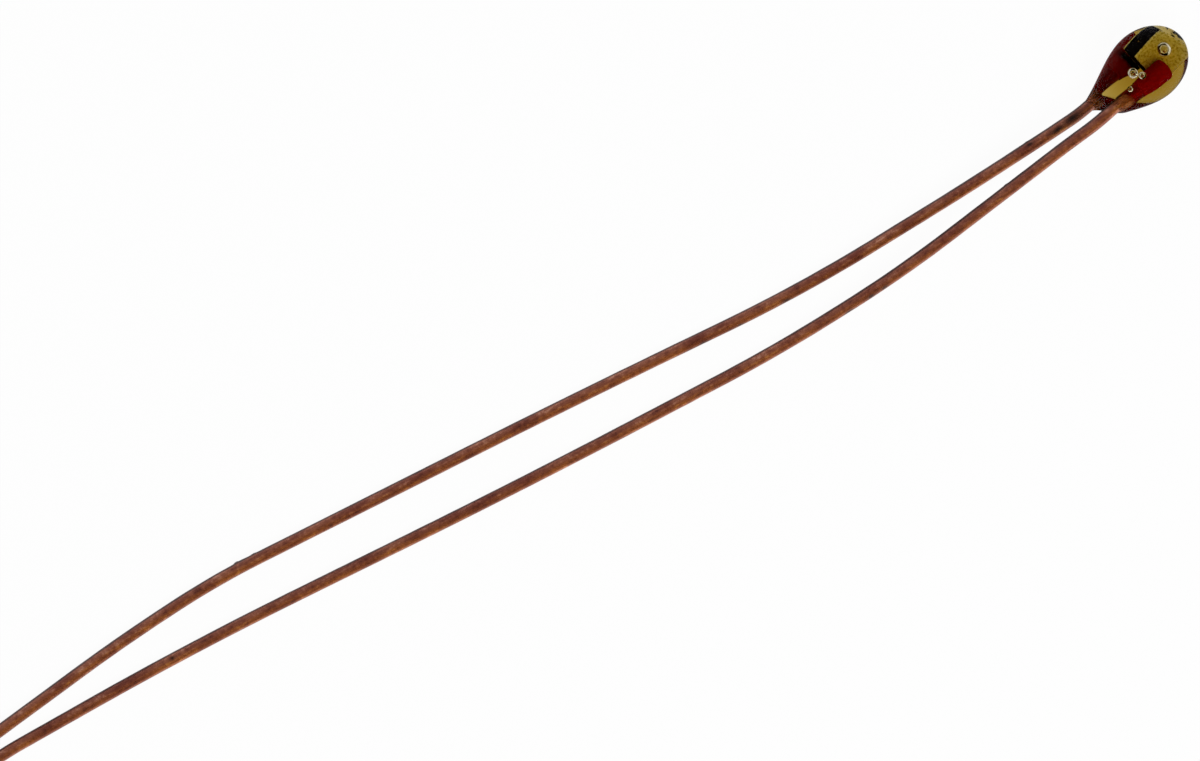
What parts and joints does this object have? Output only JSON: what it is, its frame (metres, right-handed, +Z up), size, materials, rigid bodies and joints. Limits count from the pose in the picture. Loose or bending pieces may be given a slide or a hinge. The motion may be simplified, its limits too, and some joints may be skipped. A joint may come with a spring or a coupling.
{
  "type": "ntc thermistor",
  "caption": "Glass bead temperature sensor: a drop of clear amber glass round a black ceramic chip, with long bare wire leads that lie side by side.",
  "frame": {"origin": "middle of the part's footprint, on the surface that it lies on", "axes": "+X along the leads towards the glass bead, +Y level across them, +Z up"},
  "size_m": [0.0426, 0.0024, 0.0017],
  "materials": {
    "sealing_glass": "gloss",
    "oxide_ceramic": "matte",
    "gold_film": "satin",
    "fired_paste": "satin",
    "copper_clad_wire": "satin"
  },
  "bodies": {
    "root": {"glass_bead": "sealing_glass", "ceramic_chip": "oxide_ceramic", "front_electrode": "gold_film", "back_electrode": "gold_film", "front_contact": "fired_paste", "back_contact": "fired_paste", "front_lead": "copper_clad_wire", "back_lead": "copper_clad_wire"}
  },
  "joints": []
}
